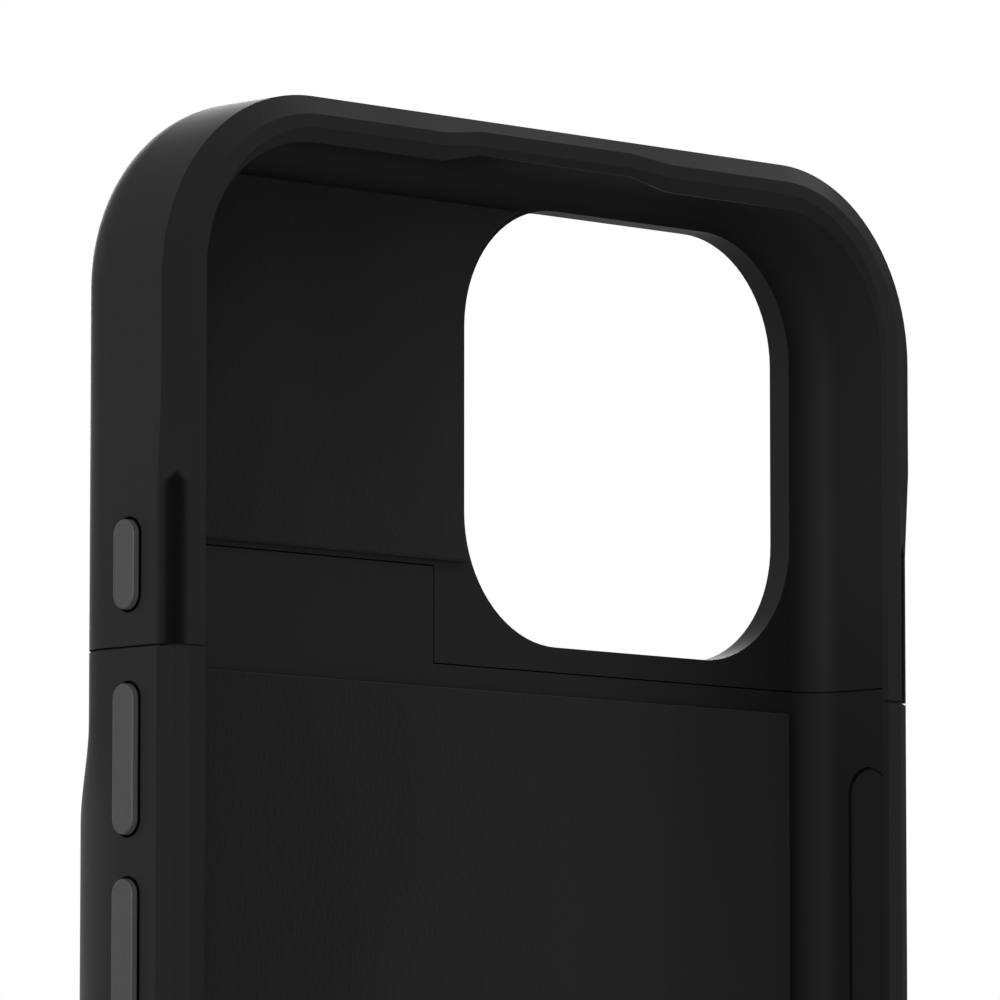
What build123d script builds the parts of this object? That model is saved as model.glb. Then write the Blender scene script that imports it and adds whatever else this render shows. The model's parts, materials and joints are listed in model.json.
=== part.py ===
"""Slide-on battery charging case in two halves, standing on its flat bottom face.

Millimetres. X points to the right as the front is seen, Y to the back and Z up.
The origin is the centre of the bottom face. A depth is measured back from the front rim.
"""

import math
import os

from build123d import *

os.makedirs("parts", exist_ok=True)

# Pocket inside the case
pocket_width = 70.7
pocket_height = 146.9
pocket_depth = 8.35
pocket_corner = 12.35
pocket_edge = 2.6
lining_thickness = 0.4
lining_margin = 0.4

# Walls of the two halves
side_wall = 1.05
top_wall = 1.3
chin_height = 11.0
chin_wall = 1.2
bottom_wall = 1.3
cap_back = 1.1
cap_edge = 4.0
split_gap = 0.15
body_edge = 11.6
foot_edge = 8.0
foot_recess = 0.8
foot_turn = 80
foot_steps = 4
foot_run = 0.5
trim_margin = 1.0
ramp_drop = 4.6
ramp_length = 6.6
ramp_steps = 8
ramp_run = 0.8

# Front rim
rim_slope_width = 1.3
rim_slope_depth = 0.7
side_slope_width = 1.9
side_slope_depth = 1.25
side_slope_shallow = 0.9
side_slope_end = 10.75
side_slope_fade = 6.0
rim_flat = 0.9
rim_width = 3.2
rim_fall = 0.4
lip_depth = 0.55
chin_rim = 2.0
sound_dip_width = 14.6
sound_dip_ramp = 3.7
sound_dip_depth = 0.24
sound_dip_rise = 0.34
sound_lip_rise = 0.75

# Lap wall and tongue between the halves
lap_thickness = 0.5
lap_height = 1.2
lap_front = 1.6
lap_clearance = 0.1
tongue_height = 8.0
tongue_side_gap = 2.75
tongue_inner = 3.0

# Camera window
camera_width = 33.0
camera_corner = 9.0
camera_margin = 2.6
camera_split_gap = 3.05
camera_lip_width = 1.6
camera_lip_height = 0.8
camera_lip_edge = 0.35

# Side buttons: the split passes below the action button, and the others lie below the split
button_depth = 4.03
button_face = 2.1
button_proud = 0.5
button_crown = 0.08
button_slot_gap = 0.2
button_seat_gap = 0.1
button_flange = 0.7
button_flange_thickness = 0.3
action_length = 6.0
action_drop = 31.1
action_split_gap = 2.55
volume_length = 10.0
volume_split_gap = 2.35
volume_gap = 2.9
side_length = 17.0
side_split_gap = 5.25

# Battery compartment, listed from the pocket towards the back
tray_floor = 1.0
tape_thickness = 0.15
cell_thickness = 4.0
cell_swell_gap = 0.2
panel_thickness = 1.25
cell_overhang = 1.7
cell_top_gap = 5.75
cell_corner = 3.0
cell_edge = 0.8
cell_gap = 1.1
panel_ledge = 1.25
panel_gap = 0.15
panel_bottom = 5.0
divider_thickness = 1.0
divider_height = 3.0
divider_inner = 10.0
divider_gap = 0.5
tape_margin = 4.0
tab_width = 4.0
tab_thickness = 0.15
tab_reach = 2.5
tab_spacing = 14.0

# Circuit board and the parts on it
board_width = 44.0
board_height = 22.5
board_bottom = 1.8
board_thickness = 0.8
board_corner = 1.5
board_gap = 0.5
board_room = 2.0
screw_inset = 2.5
screw_z = 8.6
screw_radius = 0.7
screw_fit = 0.05
screw_head_radius = 1.3
screw_head_height = 0.8
screw_length = 3.0
coil_size = 6.5
coil_height = 2.4
coil_edge = 1.2
coil_inset = 1.75
coil_z = 17.0
chip_size = 5.0
chip_height = 0.9
chip_inset = 14.0
chip_z = 8.5
capacitor_length = 1.6
capacitor_width = 0.8
capacitor_height = 0.8
capacitor_spacing = 2.4
capacitor_columns = 3
capacitor_rows = 2
capacitor_inset = 7.6
capacitor_z = 10.5

# Battery check button and charge lights
status_z = 17.0
status_radius = 2.4
status_sink = 0.15
status_gap = 0.2
status_flange = 0.8
status_flange_thickness = 0.5
status_seat_gap = 0.1
status_stem_radius = 1.0
status_press_gap = 0.4
status_bevel = 0.2
switch_size = 3.6
switch_height = 0.7
plunger_radius = 0.9
plunger_height = 0.5
light_first = 7.5
light_spacing = 3.5
light_count = 4
light_radius = 0.6
light_fit = 0.1
light_bar_width = 2.4
led_length = 1.6
led_width = 0.8
led_height = 0.6
led_air = 0.2

# Connectors
plug_width = 8.25
plug_height = 2.4
plug_length = 6.65
plug_wall = 0.3
plug_root = 2.5
plug_fit = 0.03
plug_mouth_width = 6.7
plug_mouth_height = 0.9
plug_mouth_depth = 5.0
collar_width = 14.0
collar_depth = 4.4
collar_height = 4.4
collar_neck_wall = 0.9
collar_neck_rise = 0.3
collar_fit = 0.1
flex_width = 8.0
flex_thickness = 0.2
flex_drop = 1.2
socket_width = 8.94
socket_height = 3.2
socket_length = 7.3
socket_wall = 0.3
socket_sink = 0.35
socket_fit = 0.1
socket_back = 1.2
socket_tongue_width = 6.6
socket_tongue_height = 0.7
socket_tongue_sink = 0.9
chin_room_width = 26.0
chin_front_wall = 2.0
duct_width = 8.0
duct_height = 2.0
duct_spacing = 37.0

# Sizes that follow from the ones above
case_width = pocket_width + 2 * side_wall
case_height = chin_height + pocket_height + top_wall
case_corner = pocket_corner + side_wall
half_width = case_width / 2
pocket_side = pocket_width / 2
pocket_top = chin_height + pocket_height
pocket_floor = lip_depth + pocket_depth + lining_thickness
cap_depth = pocket_floor + cap_back
tray_back = pocket_floor + tray_floor
panel_seat = tray_back + tape_thickness + cell_thickness + cell_swell_gap
body_depth = panel_seat + panel_thickness
action_z = pocket_top - action_drop
split_height = action_z - action_length / 2 - action_split_gap
volume_up_z = split_height - volume_split_gap - volume_length / 2
volume_down_z = volume_up_z - volume_length - volume_gap
side_z = split_height - side_split_gap - side_length / 2
foot_height = case_corner * math.sin(math.radians(foot_turn))
foot_top = foot_height + 2 * foot_run
outline_low = foot_height - case_corner
ramp_top = split_height - ramp_drop
ramp_foot = ramp_top - ramp_length
chin_top = chin_height - chin_wall
board_back = tray_back + board_thickness
board_top = board_bottom + board_height
divider_bottom = board_top + divider_gap
cell_bottom = divider_bottom + divider_thickness + divider_gap
cell_top = ramp_foot - cell_top_gap
cell_height = cell_top - cell_bottom
cell_width = 2 * (half_width - body_edge + cell_overhang)
screw_x = board_width / 2 - screw_inset
chip_x = board_width / 2 - chip_inset
coil_x = coil_inset + coil_size / 2 - board_width / 2
capacitor_x = board_width / 2 - capacitor_inset
compartment_width = cell_width + 2 * cell_gap
compartment_corner = cell_corner + cell_gap
compartment_bottom = panel_bottom + panel_ledge
compartment_top = cell_top + cell_gap
lining_side = pocket_side - pocket_edge - lining_margin
lining_low = chin_height + pocket_edge + lining_margin
lining_high = pocket_top - pocket_edge - lining_margin
lining_corner = pocket_corner - pocket_edge - lining_margin
plug_depth = lip_depth + pocket_depth / 2
plug_low = chin_top - plug_root
plug_top = chin_height + plug_length
neck_width = plug_width + 2 * collar_neck_wall
neck_height = plug_height + 2 * collar_neck_wall
socket_depth = tray_back - socket_height / 2
socket_top = socket_sink + socket_length
camera_x = pocket_side - camera_margin - camera_width / 2
camera_low = split_height + camera_split_gap
camera_high = pocket_top - camera_margin
camera_height = camera_high - camera_low
camera_z = (camera_low + camera_high) / 2
switch_top = board_back + switch_height + plunger_height
light_xs = [light_first + light_spacing * index for index in range(light_count)]
tongue_outer = pocket_side - pocket_edge - tongue_side_gap
tongue_left = camera_x - camera_width / 2 - tongue_inner
tongue_x = (tongue_left - tongue_outer) / 2
tongue_width = tongue_left + tongue_outer
body_buttons = (
    (-1, volume_length, volume_up_z),
    (-1, volume_length, volume_down_z),
    (1, side_length, side_z),
)


def at_depth(depth):
    """Plane facing the front at this depth, with x to the right and y up."""
    return Plane.XZ.offset(body_depth / 2 - depth)


def at_height(height):
    """Level plane at this height, with its origin on the front rim's plane."""
    return Plane(origin=(0, -body_depth / 2, height), x_dir=(1, 0, 0), z_dir=(0, 0, 1))


def at_side(offset):
    """Upright plane across the width, with x to the back from the front rim and y up."""
    return Plane(origin=(offset, -body_depth / 2, 0), x_dir=(0, 1, 0), z_dir=(1, 0, 0))


def smooth_step(share):
    """Ease from 0 to 1 with level ends."""
    return share**2 * (3 - 2 * share)


def opening_section(depth, top_inset):
    """Front opening at this depth, at this distance below the top of the case."""
    low = chin_height + chin_rim
    high = case_height - top_inset
    with BuildSketch(at_depth(depth)) as section:
        with Locations((0, (low + high) / 2)):
            RectangleRounded(
                case_width - 2 * rim_width,
                high - low,
                case_corner - (rim_width + top_inset) / 2,
            )
    return section.sketch


def dip_section(x, share):
    """Upright section of the rim's dip, sunk and raised by this share of its size."""
    sink = share * sound_dip_depth
    flat_low = case_height - rim_slope_width - rim_flat + share * sound_dip_rise
    slope_low = case_height - rim_width + share * sound_lip_rise
    slope_run = rim_width - rim_slope_width - rim_flat
    slope_depth = sink + rim_fall * (flat_low - slope_low) / slope_run
    with BuildSketch(at_side(x)) as section:
        with BuildLine():
            Polyline(
                (-trim_margin, case_height),
                (sink, case_height),
                (sink, flat_low),
                (slope_depth, slope_low),
                (lip_depth + trim_margin, slope_low),
                (lip_depth + trim_margin, slope_low - trim_margin),
                (-trim_margin, slope_low - trim_margin),
                close=True,
            )
        make_face()
    return section.sketch


def lap_wall(thickness, height, front):
    """Thin wall that follows the pocket's sides and back, up from the split."""
    extrude(
        back_section(
            split_height,
            pocket_floor + thickness,
            pocket_edge + thickness,
            pocket_width + 2 * thickness,
        ),
        amount=height,
    )
    extrude(
        back_section(split_height, pocket_floor, pocket_edge, pocket_width),
        amount=height,
        mode=Mode.SUBTRACT,
    )
    upright_block(
        0,
        split_height + height / 2,
        case_width,
        height,
        -trim_margin,
        front,
        mode=Mode.SUBTRACT,
    )


def back_section(height, depth, edge, width=case_width):
    """Level section of the body, rounded at the back and a margin too long at the front."""
    with BuildSketch(at_height(height)) as section:
        with Locations((0, (depth - trim_margin) / 2)):
            Rectangle(width, depth + trim_margin)
        fillet(section.vertices().sort_by(Axis.Y)[-2:], edge)
    return section.sketch


def foot_section(share):
    """Section where the outline's bottom corner has turned this share of the way to the floor."""
    turn = math.radians(foot_turn * share)
    inset = 1 - math.cos(turn)
    return back_section(
        foot_height - case_corner * math.sin(turn),
        body_depth - foot_recess * inset,
        body_edge + (foot_edge - body_edge) * inset,
        case_width - 2 * case_corner * inset,
    )


def ramp_section(share):
    """Section at this share of the way up from the hump to the cap's depth."""
    eased = smooth_step(share)
    return back_section(
        ramp_foot + ramp_length * share,
        body_depth + (cap_depth - body_depth) * eased,
        body_edge + (cap_edge - body_edge) * eased,
    )


def upright_block(x, z, width, height, front, back, corner=0.0, mode=Mode.ADD):
    """Block with rounded upright corners between two depths."""
    with BuildSketch(at_depth(front)) as profile:
        with Locations((x, z)):
            if corner:
                RectangleRounded(width, height, corner)
            else:
                Rectangle(width, height)
    extrude(profile.sketch, amount=front - back, mode=mode)


def upright_pin(x, z, radius, front, back, mode=Mode.ADD):
    """Round pin or hole between two depths."""
    with BuildSketch(at_depth(front)) as profile:
        with Locations((x, z)):
            Circle(radius)
    extrude(profile.sketch, amount=front - back, mode=mode)


def level_slot(x, depth, width, height, low, high, mode=Mode.ADD):
    """Rod or hole of slot section that runs up between two heights."""
    with BuildSketch(at_height(low)) as profile:
        with Locations((x, depth)):
            SlotOverall(width, height)
    extrude(profile.sketch, amount=high - low, mode=mode)


def side_slot(side, z, length, width, inner, outer, mode=Mode.ADD):
    """Pill across a side wall between two distances from the middle of the case."""
    with BuildSketch(at_side(side * inner)) as profile:
        with Locations((button_depth, z)):
            SlotOverall(length, width, rotation=90)
    extrude(profile.sketch, amount=side * (outer - inner), mode=mode)


def button_cut(side, length, z):
    """Slot for a button's face and the wider seat behind it for its flange."""
    gap = 2 * button_slot_gap
    seat = 2 * button_flange + gap
    seat_depth = button_flange_thickness + 2 * button_seat_gap
    side_slot(side, z, length + gap, button_face + gap, pocket_side, half_width, Mode.SUBTRACT)
    side_slot(
        side,
        z,
        length + seat,
        button_face + seat,
        pocket_side,
        pocket_side + seat_depth,
        Mode.SUBTRACT,
    )


def button(side, length, z):
    """Pill-shaped key with a softened face and a flange that traps it in the wall."""
    flange_inner = pocket_side + button_seat_gap
    flange_outer = flange_inner + button_flange_thickness
    rim = 2 * button_flange
    side_slot(side, z, length, button_face, flange_inner, half_width + button_proud)
    pressed_face = faces().sort_by(Axis.X)[0 if side < 0 else -1]
    chamfer(pressed_face.edges(), button_crown)
    side_slot(side, z, length + rim, button_face + rim, flange_inner, flange_outer)


# Space inside the sloped front rim, a margin wider than the case behind the slope
with BuildPart() as case_form:
    for share in (0, 1 + trim_margin / rim_slope_width):
        slope_depth = rim_slope_depth * share
        side_inset = side_slope_width * (1 - slope_depth / side_slope_shallow)
        end_inset = rim_slope_width * (1 - share)
        with BuildSketch(at_depth(slope_depth)):
            with Locations((0, (outline_low + case_height) / 2)):
                RectangleRounded(
                    case_width - 2 * side_inset,
                    case_height - outline_low - 2 * end_inset,
                    case_corner - (side_inset + end_inset) / 2,
                )
    loft(ruled=True)
    extrude(case_form.faces().sort_by(Axis.Y)[-1], amount=body_depth)

# Deeper slope along the straight sides, fading out towards the corners
with BuildPart() as side_slope_form:
    slope_end = split_height + side_slope_end
    slope_levels = (
        (foot_top, side_slope_shallow),
        (foot_top + side_slope_fade, side_slope_depth),
        (slope_end, side_slope_depth),
        (slope_end + side_slope_fade, side_slope_shallow),
    )
    for levels in zip(slope_levels, slope_levels[1:]):
        for height, depth in levels:
            with BuildSketch(at_height(height)):
                with BuildLine():
                    Polyline(
                        (half_width - side_slope_width, 0),
                        (half_width + side_slope_width, 0),
                        (half_width + side_slope_width, depth),
                        (half_width, depth),
                        close=True,
                    )
                make_face()
        loft(ruled=True)
    mirror(about=Plane.YZ)

# Space of the pocket
with BuildPart() as pocket_form:
    upright_block(
        0,
        chin_height + pocket_height / 2,
        pocket_width,
        pocket_height,
        lip_depth,
        pocket_floor,
        pocket_corner,
    )
    fillet(pocket_form.faces().sort_by(Axis.Y)[-1].edges(), pocket_edge)

# Front opening with its sloped inner edge
with BuildPart() as opening_form:
    front_section = opening_section(0, rim_slope_width + rim_flat)
    inner_section = opening_section(rim_fall, rim_width)
    loft([front_section.face(), inner_section.face()], ruled=True)
    extrude(inner_section, amount=-lip_depth)

# Shallow dip in the top rim that leaves room for sound
with BuildPart() as sound_dip_form:
    dip_half = sound_dip_width / 2
    dip_end = dip_half + sound_dip_ramp
    dip_places = ((-dip_end, 0), (-dip_half, 1), (dip_half, 1), (dip_end, 0))
    dip_sections = [dip_section(x, share) for x, share in dip_places]
    loft([section.face() for section in dip_sections], ruled=True)

# Lap wall of the lower half and the room for it in the cap
with BuildPart() as lap_form:
    lap_wall(lap_thickness, lap_height, lap_front)

with BuildPart() as lap_room_form:
    lap_wall(lap_thickness + lap_clearance, lap_height + lap_clearance, lap_front - lap_clearance)

# Outside of the lower half: soft foot, rounded body and the ramp up to the cap's depth
with BuildPart() as body_form:
    ramp_start = ramp_foot - ramp_run
    ramp_end = ramp_top + ramp_run
    foot_sections = [
        *(foot_section(1 - step / foot_steps) for step in range(foot_steps + 1)),
        back_section(foot_top - foot_run, body_depth, body_edge),
        back_section(foot_top, body_depth, body_edge),
    ]
    loft([section.face() for section in foot_sections])
    extrude(back_section(foot_top, body_depth, body_edge), amount=ramp_start - foot_top)
    ramp_sections = [
        back_section(ramp_start, body_depth, body_edge),
        back_section(ramp_foot - ramp_run / 2, body_depth, body_edge),
        *(ramp_section(step / ramp_steps) for step in range(ramp_steps + 1)),
        back_section(ramp_top + ramp_run / 2, cap_depth, cap_edge),
        back_section(ramp_end, cap_depth, cap_edge),
    ]
    loft([section.face() for section in ramp_sections])
    extrude(back_section(ramp_end, cap_depth, cap_edge), amount=split_height - ramp_end)
    add(case_form.part, mode=Mode.INTERSECT)

# Lower half, hollowed for the pocket, the battery, the board and the connectors
with BuildPart() as lower_shell:
    add(body_form.part)
    add(side_slope_form.part, mode=Mode.SUBTRACT)
    add(pocket_form.part, mode=Mode.SUBTRACT)
    add(opening_form.part, mode=Mode.SUBTRACT)
    # Battery compartment, the seat of its cover and the room for the board's lower edge
    upright_block(
        0,
        (compartment_bottom + compartment_top) / 2,
        compartment_width,
        compartment_top - compartment_bottom,
        tray_back,
        panel_seat,
        compartment_corner,
        Mode.SUBTRACT,
    )
    upright_block(
        0,
        (compartment_bottom + compartment_top) / 2,
        compartment_width + 2 * panel_ledge,
        compartment_top - compartment_bottom + 2 * panel_ledge,
        panel_seat,
        body_depth + trim_margin,
        compartment_corner + panel_ledge,
        Mode.SUBTRACT,
    )
    upright_block(
        0,
        (board_bottom - board_gap + compartment_bottom + compartment_corner) / 2,
        board_width + 2 * board_gap,
        compartment_bottom + compartment_corner - board_bottom + board_gap,
        tray_back,
        tray_back + board_room,
        mode=Mode.SUBTRACT,
    )
    # Room in the chin for the connectors, their holes and the sound ducts
    upright_block(
        0,
        (bottom_wall + chin_top) / 2,
        chin_room_width,
        chin_top - bottom_wall,
        chin_front_wall,
        tray_back,
        mode=Mode.SUBTRACT,
    )
    level_slot(
        0,
        plug_depth,
        neck_width + 2 * collar_fit,
        neck_height + 2 * collar_fit,
        chin_top,
        chin_height + collar_neck_rise,
        Mode.SUBTRACT,
    )
    level_slot(
        0,
        socket_depth,
        socket_width + 2 * socket_fit,
        socket_height + 2 * socket_fit,
        -trim_margin,
        bottom_wall,
        Mode.SUBTRACT,
    )
    for side in (-1, 1):
        level_slot(
            side * duct_spacing / 2,
            plug_depth,
            duct_width,
            duct_height,
            -trim_margin,
            chin_height + pocket_edge,
            Mode.SUBTRACT,
        )
        upright_pin(
            side * screw_x,
            screw_z,
            screw_radius + screw_fit,
            tray_back - screw_length,
            tray_back,
            Mode.SUBTRACT,
        )
        upright_block(
            side * (divider_inner + compartment_width / 2) / 2,
            divider_bottom + divider_thickness / 2,
            compartment_width / 2 - divider_inner,
            divider_thickness,
            tray_back,
            tray_back + divider_height,
        )
    for side, length, z in body_buttons:
        button_cut(side, length, z)
    # Lap wall and the taller tongue that reaches up inside the cap's back wall
    add(lap_form.part)
    upright_block(
        tongue_x,
        split_height + tongue_height / 2,
        tongue_width,
        tongue_height,
        pocket_floor,
        pocket_floor + lap_thickness,
    )
lower_shell.part.label = "lower_shell"
export_step(lower_shell.part, "parts/lower_shell.step")

# Upper half with its rounded back edge and camera window
with BuildPart() as top_cap:
    upright_block(0, case_height / 2, case_width, case_height, 0, cap_depth, case_corner)
    fillet(top_cap.faces().sort_by(Axis.Y)[-1].edges(), cap_edge)
    add(case_form.part, mode=Mode.INTERSECT)
    split(bisect_by=Plane.XY.offset(split_height + split_gap), keep=Keep.TOP)
    upright_block(
        camera_x,
        camera_z,
        camera_width + 2 * camera_lip_width,
        camera_height + 2 * camera_lip_width,
        pocket_floor,
        cap_depth + camera_lip_height,
        camera_corner + camera_lip_width,
    )
    chamfer(top_cap.faces().sort_by(Axis.Y)[-1].edges(), camera_lip_edge)
    add(side_slope_form.part, mode=Mode.SUBTRACT)
    add(pocket_form.part, mode=Mode.SUBTRACT)
    add(opening_form.part, mode=Mode.SUBTRACT)
    add(sound_dip_form.part, mode=Mode.SUBTRACT)
    upright_block(
        camera_x,
        camera_z,
        camera_width,
        camera_height,
        pocket_floor - lining_thickness,
        cap_depth + camera_lip_height,
        camera_corner,
        Mode.SUBTRACT,
    )
    button_cut(-1, action_length, action_z)
    add(lap_room_form.part, mode=Mode.SUBTRACT)
    upright_block(
        tongue_x,
        split_height + (tongue_height + lap_clearance) / 2,
        tongue_width + 2 * lap_clearance,
        tongue_height + lap_clearance,
        pocket_floor,
        pocket_floor + lap_thickness + lap_clearance,
        mode=Mode.SUBTRACT,
    )
top_cap.part.label = "top_cap"
export_step(top_cap.part, "parts/top_cap.step")

# Flush cover over the battery compartment, with holes for the check button and the lights
with BuildPart() as back_panel:
    upright_block(
        0,
        (compartment_bottom + compartment_top) / 2,
        compartment_width + 2 * (panel_ledge - panel_gap),
        compartment_top - compartment_bottom + 2 * (panel_ledge - panel_gap),
        panel_seat,
        body_depth + trim_margin,
        compartment_corner + panel_ledge - panel_gap,
    )
    add(body_form.part, mode=Mode.INTERSECT)
    upright_pin(0, status_z, status_radius + status_gap, panel_seat, body_depth, Mode.SUBTRACT)
    for light_x in light_xs:
        upright_pin(
            light_x, status_z, light_radius + light_fit, panel_seat, body_depth, Mode.SUBTRACT
        )
back_panel.part.label = "back_panel"
export_step(back_panel.part, "parts/back_panel.step")

# Buttons in the side walls
with BuildPart() as action_button:
    button(-1, action_length, action_z)
action_button.part.label = "action_button"
export_step(action_button.part, "parts/action_button.step")

with BuildPart() as volume_up_button:
    button(-1, volume_length, volume_up_z)
volume_up_button.part.label = "volume_up_button"
export_step(volume_up_button.part, "parts/volume_up_button.step")

with BuildPart() as volume_down_button:
    button(-1, volume_length, volume_down_z)
volume_down_button.part.label = "volume_down_button"
export_step(volume_down_button.part, "parts/volume_down_button.step")

with BuildPart() as side_button:
    button(1, side_length, side_z)
side_button.part.label = "side_button"
export_step(side_button.part, "parts/side_button.step")

# Soft linings behind the pocket
with BuildPart() as pocket_lining:
    upright_block(
        0,
        (lining_low + lining_high) / 2,
        2 * lining_side,
        lining_high - lining_low,
        pocket_floor - lining_thickness,
        pocket_floor,
        lining_corner,
    )
    split(bisect_by=Plane.XY.offset(split_height - lining_margin), keep=Keep.BOTTOM)
pocket_lining.part.label = "pocket_lining"
export_step(pocket_lining.part, "parts/pocket_lining.step")

with BuildPart() as cap_lining:
    upright_block(
        0,
        (lining_low + lining_high) / 2,
        2 * lining_side,
        lining_high - lining_low,
        pocket_floor - lining_thickness,
        pocket_floor,
        lining_corner,
    )
    split(
        bisect_by=Plane.XY.offset(split_height + tongue_height + lap_clearance + lining_margin),
        keep=Keep.TOP,
    )
    upright_block(
        camera_x,
        camera_z,
        camera_width + 2 * lining_margin,
        camera_height + 2 * lining_margin,
        pocket_floor - lining_thickness,
        pocket_floor,
        camera_corner + lining_margin,
        Mode.SUBTRACT,
    )
cap_lining.part.label = "cap_lining"
export_step(cap_lining.part, "parts/cap_lining.step")

# Connector that rises from the chin into the pocket
with BuildPart() as plug_collar:
    upright_block(
        0,
        chin_top - collar_height / 2,
        collar_width,
        collar_height,
        plug_depth - collar_depth / 2,
        plug_depth + collar_depth / 2,
    )
    level_slot(0, plug_depth, neck_width, neck_height, chin_top, chin_height + collar_neck_rise)
    level_slot(
        0,
        plug_depth,
        plug_width + 2 * plug_fit,
        plug_height + 2 * plug_fit,
        chin_top - plug_root,
        chin_height + collar_neck_rise,
        Mode.SUBTRACT,
    )
plug_collar.part.label = "plug_collar"
export_step(plug_collar.part, "parts/plug_collar.step")

with BuildPart() as plug_shell:
    level_slot(0, plug_depth, plug_width, plug_height, plug_low, plug_top)
    level_slot(
        0,
        plug_depth,
        plug_width - 2 * plug_wall,
        plug_height - 2 * plug_wall,
        plug_low,
        plug_top,
        Mode.SUBTRACT,
    )
plug_shell.part.label = "plug_shell"
export_step(plug_shell.part, "parts/plug_shell.step")

with BuildPart() as plug_core:
    level_slot(
        0,
        plug_depth,
        plug_width - 2 * plug_wall - 2 * plug_fit,
        plug_height - 2 * plug_wall - 2 * plug_fit,
        plug_low,
        plug_top - plug_wall,
    )
    level_slot(
        0,
        plug_depth,
        plug_mouth_width,
        plug_mouth_height,
        plug_top - plug_mouth_depth,
        plug_top,
        Mode.SUBTRACT,
    )
plug_core.part.label = "plug_core"
export_step(plug_core.part, "parts/plug_core.step")

with BuildPart() as plug_flex:
    upright_block(
        0,
        chin_top - flex_drop,
        flex_width,
        flex_thickness,
        plug_depth + collar_depth / 2,
        tray_back,
    )
plug_flex.part.label = "plug_flex"
export_step(plug_flex.part, "parts/plug_flex.step")

# Charging socket in the bottom face
with BuildPart() as socket_shell:
    level_slot(0, socket_depth, socket_width, socket_height, socket_sink, socket_top)
    level_slot(
        0,
        socket_depth,
        socket_width - 2 * socket_wall,
        socket_height - 2 * socket_wall,
        socket_sink,
        socket_top,
        Mode.SUBTRACT,
    )
socket_shell.part.label = "socket_shell"
export_step(socket_shell.part, "parts/socket_shell.step")

with BuildPart() as socket_tongue:
    level_slot(
        0,
        socket_depth,
        socket_width - 2 * socket_wall - 2 * plug_fit,
        socket_height - 2 * socket_wall - 2 * plug_fit,
        socket_top - socket_back,
        socket_top,
    )
    upright_block(
        0,
        (socket_sink + socket_tongue_sink + socket_top - socket_back) / 2,
        socket_tongue_width,
        socket_length - socket_tongue_sink - socket_back,
        socket_depth - socket_tongue_height / 2,
        socket_depth + socket_tongue_height / 2,
    )
socket_tongue.part.label = "socket_tongue"
export_step(socket_tongue.part, "parts/socket_tongue.step")

# Circuit board and the parts soldered to it
with BuildPart() as circuit_board:
    upright_block(
        0,
        board_bottom + board_height / 2,
        board_width,
        board_height,
        tray_back,
        board_back,
        board_corner,
    )
    for side in (-1, 1):
        upright_pin(
            side * screw_x,
            screw_z,
            screw_radius + screw_fit,
            tray_back,
            board_back,
            Mode.SUBTRACT,
        )
circuit_board.part.label = "circuit_board"
export_step(circuit_board.part, "parts/circuit_board.step")

with BuildPart() as board_screws:
    for side in (-1, 1):
        upright_pin(side * screw_x, screw_z, screw_radius, tray_back - screw_length, board_back)
        upright_pin(
            side * screw_x,
            screw_z,
            screw_head_radius,
            board_back,
            board_back + screw_head_height,
        )
board_screws.part.label = "board_screws"
export_step(board_screws.part, "parts/board_screws.step")

with BuildPart() as power_coil:
    upright_block(
        coil_x, coil_z, coil_size, coil_size, board_back, board_back + coil_height, coil_edge
    )
power_coil.part.label = "power_coil"
export_step(power_coil.part, "parts/power_coil.step")

with BuildPart() as control_chips:
    for side in (-1, 1):
        upright_block(
            side * chip_x,
            chip_z,
            chip_size,
            chip_size,
            board_back,
            board_back + chip_height,
        )
control_chips.part.label = "control_chips"
export_step(control_chips.part, "parts/control_chips.step")

with BuildPart() as capacitors:
    with BuildSketch(at_depth(board_back)):
        with Locations((capacitor_x, capacitor_z)):
            with GridLocations(
                capacitor_spacing, capacitor_spacing, capacitor_columns, capacitor_rows
            ):
                Rectangle(capacitor_length, capacitor_width)
    extrude(amount=-capacitor_height)
capacitors.part.label = "capacitors"
export_step(capacitors.part, "parts/capacitors.step")

# Battery check button, its switch and the charge lights
with BuildPart() as status_switch:
    upright_block(
        0, status_z, switch_size, switch_size, board_back, board_back + switch_height
    )
    upright_pin(0, status_z, plunger_radius, board_back + switch_height, switch_top)
status_switch.part.label = "status_switch"
export_step(status_switch.part, "parts/status_switch.step")

with BuildPart() as status_button:
    flange_back = panel_seat - status_seat_gap
    flange_front = flange_back - status_flange_thickness
    upright_pin(0, status_z, status_radius, flange_front, body_depth - status_sink)
    chamfer(status_button.faces().sort_by(Axis.Y)[-1].edges(), status_bevel)
    upright_pin(0, status_z, status_radius + status_flange, flange_front, flange_back)
    upright_pin(0, status_z, status_stem_radius, switch_top + status_press_gap, flange_front)
status_button.part.label = "status_button"
export_step(status_button.part, "parts/status_button.step")

with BuildPart() as status_leds:
    for light_x in light_xs:
        upright_block(
            light_x, status_z, led_length, led_width, board_back, board_back + led_height
        )
status_leds.part.label = "status_leds"
export_step(status_leds.part, "parts/status_leds.step")

with BuildPart() as light_pipes:
    upright_block(
        (light_xs[0] + light_xs[-1]) / 2,
        status_z,
        light_xs[-1] - light_xs[0] + light_bar_width,
        light_bar_width,
        board_back + led_height + led_air,
        panel_seat,
    )
    for light_x in light_xs:
        upright_pin(light_x, status_z, light_radius, panel_seat, body_depth)
light_pipes.part.label = "light_pipes"
export_step(light_pipes.part, "parts/light_pipes.step")

# Flat pouch cell with its adhesive and tabs
with BuildPart() as cell_tape:
    upright_block(
        0,
        (cell_bottom + cell_top) / 2,
        cell_width - 2 * tape_margin,
        cell_height - 2 * tape_margin,
        tray_back,
        tray_back + tape_thickness,
    )
cell_tape.part.label = "cell_tape"
export_step(cell_tape.part, "parts/cell_tape.step")

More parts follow.
